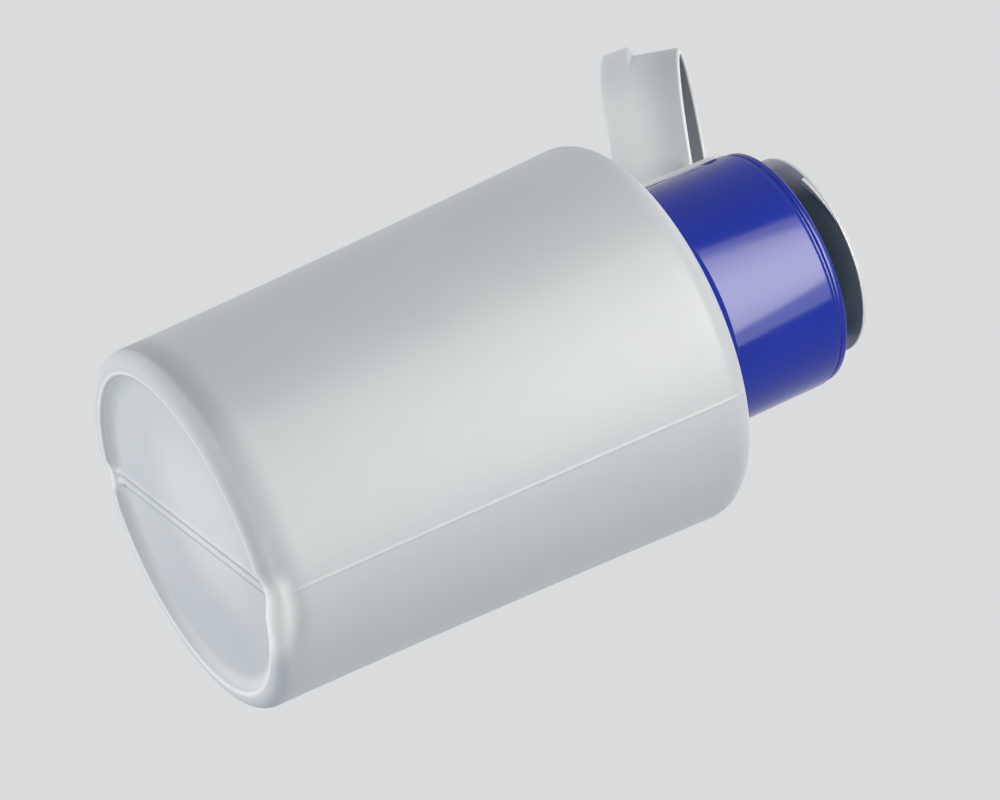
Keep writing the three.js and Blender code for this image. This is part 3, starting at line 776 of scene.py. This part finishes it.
def dish_places(place):
    """A painted highlight makes the bowl's cut edge light, and a painted reflection makes the bowl paler
    towards its back.
    """
    # Painted reflection: the bowl goes paler towards that side.
    back = distance_along(place, around(1, math.radians(dish_reflection_side), 0))
    # Painted highlight: the rim's last part goes light, reaching lower towards the back.
    edge = place.net.parts(place)[2] + back.step(7, 15) * (0.5 * mm)
    edge = edge.step(dish_rim - edge_height - 0.1, dish_rim - edge_height)
    return (back.step(9.5, 15.0), (0.80, 0.78, 0.74)), (edge, (0.70, 0.72, 0.72))


# Slate plastic, darkened further with painted shade.
dish_clear_and_shade = finish("dish_clear_and_shade", ((0.135, 0.176, 0.198), (0.155, 0.197, 0.22)), 0.2,
                    grain=0.004, places=dish_places)

# %% The press dish


def bowl(rim, lowest, highest, start, steps=16):
    """Points of a shallow bowl from a radius near the middle out to its rim."""
    depth = highest - lowest
    radius = (rim * rim + depth * depth) / (2 * depth)
    return [(r, lowest + radius - math.sqrt(radius * radius - r * r))
            for r in np.linspace(start, rim, steps + 1)]


def lug_section(share):
    """The rib's section at a share of its length, thinner towards its point."""
    inside = dish_radius - 0.2 - lug_width * (1 - share)
    under = dish_rim - lug_height - (edge_height - lug_height) * share
    return [around(radius, math.radians(lug_start + lug_span * share), height) for radius, height in (
        (inside, under), (lug_outside, under), (lug_outside, lug_top), (inside, lug_top))]


dish = turned("press_dish_bowl", [
    (stem_radius + seat, hub_bottom, 0.15),
    (hub_radius, hub_bottom, 0.3),
    *bowl(dish_radius, dish_under, dish_rim - edge_height, hub_radius),
    (dish_radius, dish_rim, 0.25),
    (dish_radius - rim_width, dish_rim, 0.25),
    *bowl(dish_radius - rim_width, dish_under + dish_wall, dish_rim, inner_floor)[::-1][1:],
    (outlet_chamber, dish_under + dish_wall, 0.1),
    (outlet_chamber, dish_under, 0.1),
    (stem_radius + seat, dish_under, 0.1),
], dish_clear_and_shade, 200, 5)
lug = lofted("lug", [lug_section(share) for share in np.linspace(0, 1, 19)])
dish = weighted(joined(dish, settled("lug", lug)))
dressed(dish, "plunger", "smoky_clear", "press_dish")

# %% [markdown]
# The lid is a cup. Its thumb lip isn't a tab but a second round around the closed end, a little larger
# and shifted forwards, so it stands out at the front and runs out at the sides. Each column of the
# grid therefore has its own outline, and the whole is made shut and then turned about its hinge.

# %% Sizes of the flip lid
hinge_reach, hinge_height = 23.1, collar_top + 0.35
lid_radius, lid_depth, lid_wall = 18.9, 13.1, 1.0
lid_open = math.radians(149)
lip_shift, lip_rise, lip_taper, lip_height, lip_slope = 2.9, 0.4, 0.8, 5.1, 0.6
lip_fade, lip_ease = 0.35, 0.02
lid_seat = collar_top + 0.5
lid_top = lid_seat + lid_depth
strap_width, strap_thickness, strap_end, strap_rounding = 18.0, 0.6, 0.75, 0.12
pivot = Vector((hinge_reach, 0, hinge_height))
lid_turn = Matrix.Rotation(lid_open, 3, "Y")
lid_axis = lid_turn @ Vector(upright)
lid_middle = pivot + lid_turn @ (Vector((0, 0, lid_seat)) - pivot)
print(f"hinge {hinge_reach} mm from the axis at {hinge_height:.2f} mm, the open lid's rim at", lid_middle)

# %% Finish of the flip lid


def lid_places(place):
    """Painted shade makes the cup dark inside and greyer outside towards its rim, and a painted highlight
    makes the rim's edge white; the closed end keeps the plain colour.
    """
    radius = distance_from(place, lid_middle, lid_axis)
    height = distance_along(place, lid_axis, lid_middle)
    # Painted shade: the inside of the cup is given a dark slate colour.
    hollow = radius.step(lid_radius - 0.55, lid_radius - 0.9) * height.step(0.25, 0.6)
    hollow = hollow * height.step(lid_depth - 0.4, lid_depth - 0.7)
    outside = radius.step(lid_radius - 0.6, lid_radius - 0.3)
    # Painted shade: the outside goes greyer towards the rim.
    shaded = height.step(lid_depth - 4.5, 1.5) * outside * 0.75
    # Painted highlight: the rim's edge is white.
    return (shaded, shade_grey), (hollow, (0.195, 0.22, 0.25)), (height.step(0.5, 0.2), thick_and_lit_white)


natural_lid = finish("natural_lid", ((0.64, 0.66, 0.675), (0.70, 0.715, 0.725)), 0.3,
                     milky=0.3, grain=0.01, clouds=7, places=lid_places)

# %% The flip lid


def lid_rows(angle):
    """Outline of the shut lid at one angle, from the middle of its top round the rim to its inside."""
    def lip(radius):
        return -lip_shift * math.cos(angle) + math.sqrt(radius**2 - (lip_shift * math.sin(angle)) ** 2)
    wide = max(lip(lid_radius + lip_rise), lid_radius + lip_ease)
    narrow = max(lip(lid_radius + lip_rise - lip_taper), lid_radius - lip_ease)
    inside, lip_low = lid_radius - lid_wall, lid_top - lip_height
    return rounded([
        (0, lid_top),
        (narrow, lid_top, 0.9),
        (wide, lip_low + lip_slope, 0.3),
        (lid_radius + lip_fade * (wide - lid_radius), lip_low, 0.25),
        (lid_radius, lip_low, 0.15),
        (lid_radius, lid_seat, 0.3),
        (inside, lid_seat, 0.3),
        (inside, lid_top - lid_wall, 0.9),
        (0, lid_top - lid_wall),
    ], 5, math.inf)


def lid_mesh(columns=200):
    points = []
    for angle in np.arange(columns) * 2 * math.pi / columns:
        points += [around(radius, angle, height) for radius, height in lid_rows(angle)]
    faces = between_rings(columns + 1, len(points) // columns, closed=False)
    return mesh_of("lid", points, [tuple(i % len(points) for i in face) for face in faces])


lid = settled("flip_lid_shell", lid_mesh(), natural_lid)
strap = bar_mesh((lid_radius - 0.5, -strap_width / 2, lid_seat),
                 (hinge_reach - strap_end, strap_width / 2, lid_seat + strap_thickness), strap_rounding)
lid = weighted(joined(lid, settled("lid_strap", strap)))
to_pivot = Matrix.Translation(from_axis(*pivot))
lid.data.transform(to_pivot @ lid_turn.to_4x4() @ to_pivot.inverted())
dressed(lid, "lid", "natural_moulding", "flip_lid")

# %% [markdown]
# The closure is natural plastic too. Of all its skirt and thread only the thin back plate shows, which
# curves round the back of the blue ring and carries the hinge.

# %% The screw closure
closure_bottom = levels("screw_closure")[0]
flange_thickness, ledge_drop = 0.9, 3.8
flange_top, ledge_top = closure_bottom + flange_thickness, collar_top - ledge_drop
skirt_bore, skirt_outside, ledge_hole, ledge_thickness = 16.4, 17.7, 9.4, 1.2
flange_edge = collar_radius - 0.6
plate_inside, plate_outside, plate_root = collar_radius + 0.2, collar_radius + 0.9, flange_edge - 0.5
plate_low, plate_high, plate_top = 17.9, 15.8, hinge_height - 0.15


def plate_sections(columns=60, rows=24):
    """The curved plate with a foot that reaches in under the ring, narrower towards the hinge."""
    rise = plate_top - closure_bottom
    heights = [closure_bottom + rise * k / rows for k in range(1, rows + 1)]
    section = [(plate_root, closure_bottom), (plate_outside, closure_bottom)]
    section += [(plate_outside, z) for z in heights]
    section += [(plate_inside, z) for z in heights[::-1] if z > flange_top]
    section += [(plate_inside, flange_top), (plate_root, flange_top)]

    def half(height):
        share = (height - closure_bottom) / rise
        return math.asin((plate_low + (plate_high - plate_low) * share) / plate_outside)
    return [[around(radius, half(height) * side, height) for radius, height in section]
            for side in np.linspace(-1, 1, columns + 1)]


closure = turned("closure_body", [
    (skirt_bore, closure_bottom, 0.2),
    (flange_edge, closure_bottom, 0.2),
    (flange_edge, flange_top, 0.2),
    (skirt_outside, flange_top, 0.1),
    (skirt_outside, ledge_top, 0.3),
    (ledge_hole, ledge_top, 0.2),
    (ledge_hole, ledge_top - ledge_thickness, 0.2),
    (skirt_bore, ledge_top - ledge_thickness, 0.2),
], natural_moulding, 160)
closure = weighted(joined(closure, settled("plate", lofted("plate", plate_sections()))))
dressed(closure, "closure", "natural_moulding", "screw_closure")

# %% [markdown]
# Threads and the return spring are one rule: a round bar along a screw line. A tree makes the line,
# gives it its width and fills the ends. A spring's end turns lie flat, so its height follows the
# turn with a sine taken off. A thread runs out to nothing at both ends instead.

# %% The coil tree
steps_per_turn, bar_sides, least_bar = 48, 14, 0.08


def coil_tree():
    lengths = ("Turns", "Radius", "Bar", "Low", "High", "Settled", "Runout", "Axis")
    net, _, steps, turns, radius, bar, low, high, settled_share, runout, axis, finish = new_tree(
        "coil", Seed="Geometry", Steps="Int", **dict.fromkeys(lengths, "Float"), Finish="Material")
    line = net.node("GeometryNodeCurvePrimitiveLine")
    line = net.node("GeometryNodeResampleCurve", {"Curve": line, "Count": steps})
    along = net.node("GeometryNodeSplineParameter")
    angle = along * turns * (2 * math.pi)
    level = along - net.math("SINE", along * (2 * math.pi)) * settled_share
    east, north = net.math("COSINE", angle) * radius + axis, net.math("SINE", angle) * radius
    spot = net.spot(east, north, level * (high - low) + low)
    line = net.node("GeometryNodeSetPosition", {"Geometry": line, "Position": spot})
    nearer = net.math("MINIMUM", along, 1 - along)
    full = net.math("MINIMUM", nearer / runout + least_bar, 1.0)
    line = net.node("GeometryNodeSetCurveRadius", {0: line, "Radius": full})
    ring = net.node("GeometryNodeCurvePrimitiveCircle", {"Resolution": bar_sides, "Radius": bar})
    body = net.node("GeometryNodeCurveToMesh", {0: line, 1: ring, "Fill Caps": True})
    return end_tree(net, body, finish)


coil = coil_tree()


def coiled(name, finish, turns, radius, bar, low, high, settled_share=0.0, runout=0.001):
    """A round bar that climbs in turns. Its flat ends and its runout are shares of its length."""
    sizes = {"Radius": radius, "Bar": bar, "Low": low, "High": high}
    return grown(name, coil, bpy.data.meshes.new(name), Steps=int(turns * steps_per_turn), Turns=float(turns),
                 Settled=settled_share, Runout=runout, Axis=axis_x, Finish=finish,
                 **{key: value * mm for key, value in sizes.items()})


# %% Threads of the neck and the closure
pitch, thread_turns, thread_runout = 4.233, 1.5, 0.06
neck_bead, closure_bead = 1.05, 0.75
thread_high = neck_top - 2.6
thread_low = thread_high - pitch * thread_turns
neck_thread = coiled("neck_thread", natural_bottle, thread_turns, neck_radius, neck_bead,
                     thread_low, thread_high, runout=thread_runout)
dressed(neck_thread, "bottle", "natural_bottle")
closure_thread = coiled("closure_thread", natural_moulding, thread_turns, skirt_bore, closure_bead,
                        thread_low - pitch / 2, thread_high - pitch / 2, runout=thread_runout)
dressed(closure_thread, "closure", "natural_moulding")
print("threads rise", round(pitch * thread_turns, 2), "mm in", thread_turns, "turns")

# %% [markdown]
# The film of the living hinge is the one soft piece. It is moulded with the closure and the lid and
# bends at its thinnest line. It is made as one thin strip across the hinge line.

# %% The living hinge
film_path = [(-2.9, -0.3, 0.15), (-1.1, -0.3, 0.15), (-0.75, -0.27, 0.14), (-0.45, -0.2, 0.12),
             (-0.25, -0.13, 0.1), (0, -0.06, 0.09), (0.22, 0.03, 0.1), (0.42, 0.13, 0.12),
             (0.66, 0.27, 0.14), (0.95, 0.43, 0.15)]


def film_mesh(columns=12):
    """A strip of changing thickness, given by its middle line beside the hinge and half its thickness."""
    line = np.array(film_path)
    run = np.gradient(line[:, :2], axis=0)
    run /= np.linalg.norm(run, axis=1)[:, None]
    across = np.stack([-run[:, 1], run[:, 0]], 1) * line[:, 2:3]
    loop = np.concatenate([line[:, :2] + across, (line[:, :2] - across)[::-1]])
    count = len(loop)
    points = [(hinge_reach + x, strap_width * (c / columns - 0.5), hinge_height + z)
              for c in range(columns + 1) for x, z in loop]
    faces = between_rings(columns + 1, count)
    for first in (0, columns * count):
        for i in range(count // 2 - 1):
            a, b = first + i, first + count - 1 - i
            faces.append((a, b, b - 1, a + 1) if first else (a, a + 1, b - 1, b))
    return mesh_of("film", points, faces)


film = settled("hinge_film", film_mesh(), natural_moulding)
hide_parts("living_hinge")
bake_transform(film)
print("hinge film:", len(film.data.polygons), "faces between closure and lid")

# %% [markdown]
# Inside stands the pump: a barrel that hangs in the neck on its flange, with a seal under it, a guide
# plug on top, and at the bottom a steel ball, the cage that holds it, and the dip tube. All are
# turned, so the turning tree makes them too. Their levels are those of the solids in the frame.

# %% The pump's barrel and seal
barrel_bore, barrel_outside, barrel_depth, ball_chamber, ball_seat = 5.8, 6.9, 25, 2.3, 1.3
tube_radius, tube_bore, tail_radius = 2.5, 1.8, 3.85
flange_radius = neck_radius + 0.15
housing_low, housing_high = levels("pump_housing")
gasket_low, gasket_high = levels("neck_gasket")
tube_low, tube_top = levels("dip_tube")
barrel_floor, tube_stop, flange_low = housing_high - barrel_depth, tube_top + seat, gasket_high + seat
cone_low, cone_height, shoulder_drop = tube_stop + 1.0, 1.0, 1.1

housing = turned("pump_barrel", [
    (barrel_bore, housing_high, 0.2),
    (barrel_bore, barrel_floor, 0.3),
    (ball_chamber, barrel_floor, 0.15),
    (ball_chamber, cone_low + cone_height, 0.1),
    (ball_seat, cone_low, 0.1),
    (ball_seat, tube_stop, 0.1),
    (tube_radius + seat, tube_stop, 0.1),
    (tube_radius + seat, housing_low, 0.2),
    (tail_radius, housing_low, 0.3),
    (tail_radius, cone_low, 0.6),
    (barrel_outside, barrel_floor - shoulder_drop, 1.0),
    (barrel_outside, flange_low, 0.6),
    (flange_radius, flange_low, 0.15),
    (flange_radius, housing_high, 0.3),
], pump_white, 96)
dressed(housing, "pump", "pump_white", "pump_housing")
gasket = sleeve(neck_bore, neck_radius, gasket_low, gasket_high, 0.2, 0.2)
gasket = turned("neck_seal", gasket, seal_white, 96)
dressed(gasket, "pump", "seal", "neck_gasket")

# %% The guide plug
cap_low, cap_high = levels("housing_cap")
plug_radius, plug_flange = barrel_bore - play, 9.0
well, well_floor = 4.5, cap_high - 3.6
top_groove, groove_floor, top_groove_low = (7.4, 5.4), (7.2, 5.6), cap_high - 0.3
guide = turned("guide_plug", [
    (plug_radius, housing_high + seat, 0.1),
    (plug_flange, housing_high + seat, 0.1),
    (plug_flange, cap_high, 0.35),
    (top_groove[0], cap_high, 0.1),
    (groove_floor[0], top_groove_low, 0.1),
    (groove_floor[1], top_groove_low, 0.1),
    (top_groove[1], cap_high, 0.1),
    (well, cap_high, 0.25),
    (well, well_floor, 0.3),
    (stem_radius + play, well_floor, 0.2),
    (stem_radius + play, cap_low, 0.15),
    (plug_radius, cap_low, 0.4),
], pump_white, 120)
print(f"guide plug from {cap_low:.2f} to {cap_high:.2f} mm")

# %% [markdown]
# The guide plug is pressed in by its rim, which has short grip ribs all round. One rib is made as a
# bar, and a tree sets a copy of it on every point of a circle.

# %% Grip ribs on the guide plug
rib_count, rib_size, rib_rounding, rib_rise = 30, Vector((0.4, 0.5, 0.62)), 0.08, 0.5


def ribs_tree():
    net, rib, count, radius, height, axis, finish = new_tree(
        "ribs", Rib="Geometry", Count="Int", Radius="Float", Height="Float", Axis="Float", Finish="Material")
    circle = net.node("GeometryNodeMeshCircle", {"Vertices": count, "Radius": radius})
    facing = net.spot(0, 0, net.node("GeometryNodeInputIndex") * (2 * math.pi) / count)
    copies = net.node("GeometryNodeInstanceOnPoints", {"Points": circle, "Instance": rib, "Rotation": facing})
    middle = net.spot(axis, 0, height)
    moved = net.node("GeometryNodeTransform", {"Geometry": copies, "Translation": middle})
    return end_tree(net, moved, finish)


rib_mesh = bar_mesh(-rib_size / 2, rib_size / 2, rib_rounding, origin=(0, 0, 0))
ribs = grown("grip_ribs", ribs_tree(), rib_mesh, Count=rib_count, Radius=plug_flange * mm,
             Height=(housing_high + rib_rise) * mm, Axis=axis_x, Finish=pump_white)
dressed(weighted(joined(guide, ribs)), "pump", "pump_white", "housing_cap")

# %% [markdown]
# The dip tube is cut on a slant, so that it can't seal itself on the bottle's floor. The cage over the
# inlet ball is a disc with a cross of slots, through which the liquid passes round the ball.

# %% Dip tube, cage and balls
tube_slant = 0.5
tube = sleeve(tube_bore, tube_radius, tube_low, tube_top, 0.1, 0.1)
tube = turned("dip_tube_pipe", tube, natural_moulding, steps=3)
for vertex in tube.data.vertices:
    if vertex.co.z < (tube_low + 1) * mm:
        vertex.co.z += (vertex.co.x - axis_x + tube_radius * mm) * tube_slant
tube.data.update()
dressed(tube, "pump", "natural_moulding", "dip_tube")

stem_bore, slot_reach, slot_half = 1.0, 3.4, 0.6
cage_low, cage_high = levels("ball_cage")
cage = turned("ball_cage_disc", sleeve(stem_bore, plug_radius, cage_low, cage_high, 0.15, 0.2), pump_white)
cage = cross_cut(cage, slot_reach, slot_half, cage_low - 1, cage_high + 1, 0.3)
dressed(cage, "pump", "pump_white", "ball_cage")


def ball(name, node, body):
    """A polished steel ball, as an arc turned about the axis."""
    low, high = levels(node)
    radius, middle = (high - low) / 2, (high + low) / 2
    arc = [(radius * math.cos(a), middle + radius * math.sin(a))
           for a in np.linspace(-math.pi / 2, math.pi / 2, 33)[1:-1]]
    dressed(turned(name, [(0, low), *arc, (0, high)], steel), body, "steel", node)


ball("inlet_valve_ball", "inlet_ball", "inlet_valve")
ball("outlet_valve_ball", "outlet_ball", "outlet_valve")

# %% [markdown]
# The plunger: a hollow stem carries the dish, a seal with two thin lips runs in the barrel, and a tip
# plugs into the stem and takes the spring. It rides with the dish. The spring stands on the cage and
# gets shorter when the dish goes down.

# %% Stem and seal
stem_low, stem_high = levels("stem")
stem = turned("pump_stem", sleeve(stem_bore, stem_radius, stem_low, stem_high, 0.2, 0.3), pump_white)
dressed(stem, "plunger", "pump_white", "stem")

seal_low, seal_high = levels("piston")
seal_hub, seal_lip = 3.75, 0.8
seal_half = [(stem_radius + seat, 0, 0.1), (seal_hub, 0, 0.2), (seal_hub, seal_lip, 0.2),
             (plug_radius - seal_lip, 0, 0.15), (plug_radius, 0, 0.15), (plug_radius, seal_lip, 0.5)]
piston = turned("piston_seal", [
    *((radius, seal_low + height, rounding) for radius, height, rounding in seal_half),
    (seal_hub + seal_lip, (seal_low + seal_high) / 2, 0.9),
    *((radius, seal_high - height, rounding) for radius, height, rounding in seal_half[::-1]),
], seal_white, 80)
dressed(piston, "plunger", "seal", "piston")

# %% Tip and return spring
tip_low, tip_high = levels("stem_tip")
tip_waist, tip_radius, shank, head_high, port = 3.65, 5.1, 0.92, stem_low - seat, 0.5
tip_step = tip_low + (head_high - tip_low) / 2
tip = turned("stem_plug", [
    (0, tip_low), (tip_waist, tip_low, 0.3), (tip_waist, tip_step, 0.2), (tip_radius, tip_step, 0.2),
    (tip_radius, head_high, 0.2), (shank, head_high, 0.1), (shank, tip_high, 0.2), (0, tip_high)], pump_white)
for near, far in ((-tip_radius - 1, -port), (port, tip_radius + 1)):
    tip = cut(tip, (-port, near, head_high - port), (port, far, tip_high + 1), 0.05)
dressed(tip, "plunger", "pump_white", "stem_tip")

wire, spring_radius, spring_turns, stroke, end_flat = 0.35, 4.3, 7, 4.0, 0.125
spring_low, spring_high = cage_high + seat, tip_step - seat
spring = coiled("return_spring_wire", steel, spring_turns, spring_radius, wire,
                spring_low + wire, spring_high - wire, settled_share=end_flat)
dressed(spring, "pump", "steel", "return_spring")
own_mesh(spring)

# %% [markdown]
# The liquid comes up through the stem, lifts the small ball and leaves by the slots of the cap in
# the middle of the dish. The cap has a rounded edge and a cross of slots below its top.

# %% The outlet cap
outlet_low, outlet_high = levels("outlet_cap")
outlet_radius, outlet_ceiling = 3.1, outlet_high - 0.6
vent_half, vent_low, vent_high = 0.35, outlet_low + 0.43, outlet_ceiling - 0.17
outlet = turned("outlet_cap_slotted", [
    (outlet_chamber, outlet_low, 0.1), (outlet_radius, outlet_low, 0.15), (outlet_radius, outlet_high, 0.55),
    (0, outlet_high), (0, outlet_ceiling), (outlet_chamber, outlet_ceiling, 0.3)], pump_white, 96, 5)
outlet = cross_cut(outlet, outlet_radius + 1, vent_half, vent_low, vent_high, 0.1)
dressed(weighted(outlet), "plunger", "pump_white", "outlet_cap")
print("outlet cap stands", round(outlet_high - outlet_low, 2), "mm high")

# %% [markdown]
# Stage: a pale floor under the foot. It shows only from its upper side and lets the lights below it
# through. Away from a spot under the open lid it fades into the backdrop, so that it keeps the shadow
# near the foot and has no bright patch under the strip light.

# %% Stage
floor_reach, floor_gap, floor_grey = 3000, 0.2, (0.62, 0.63, 0.64, 1)
fade_middle, fade_start, fade_end = (36.8, 0, 0), 60, 230


def floor_finish():
    material = bpy.data.materials.new("floor")
    net = new_net(material)
    back = net.node("ShaderNodeNewGeometry", out="Backfacing")
    away = distance_from(net.node("ShaderNodeTexCoord", out="Object"), fade_middle).step(fade_start, fade_end)
    pale = net.node("ShaderNodeBsdfDiffuse", {0: floor_grey})
    clear = net.node("ShaderNodeBsdfTransparent")
    hidden = net.math("MAXIMUM", back, away)
    shows = net.node("ShaderNodeMixShader", {0: hidden, 1: pale, 2: clear})
    net.node("ShaderNodeOutputMaterial", {0: shows})
    return material


corners = [around(floor_reach * math.sqrt(2), math.radians(45 + 90 * k), -floor_gap) for k in range(4)]
floor = placed("floor", mesh_of("floor", corners, [(0, 1, 2, 3)]))
floor.data.materials.append(floor_finish())
floor.visible_diffuse = floor.visible_shadow = False
print("floor faces", floor.data.polygons[0].normal)
